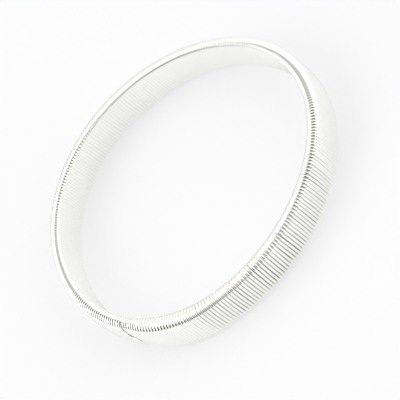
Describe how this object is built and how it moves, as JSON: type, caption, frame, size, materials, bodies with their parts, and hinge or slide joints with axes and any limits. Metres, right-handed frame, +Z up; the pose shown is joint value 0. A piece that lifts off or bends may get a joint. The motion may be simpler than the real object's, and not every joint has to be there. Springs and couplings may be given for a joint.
{
  "type": "sleeve garter",
  "caption": "Round metal arm band of close-wound flattened spring coil that grips a rolled-up shirt sleeve.",
  "frame": {"origin": "on the surface that the band lies on, under the middle of the loop", "axes": "+Z up through the arm opening, +X and +Y across the loop, with the join near 206 degrees round from +X"},
  "size_m": [0.0838, 0.0864, 0.011],
  "materials": {
    "polished_wire": "bright polished plated steel spring wire"
  },
  "bodies": {
    "root": {"coil_spring": "polished_wire", "screwed_end": "polished_wire"}
  },
  "joints": []
}
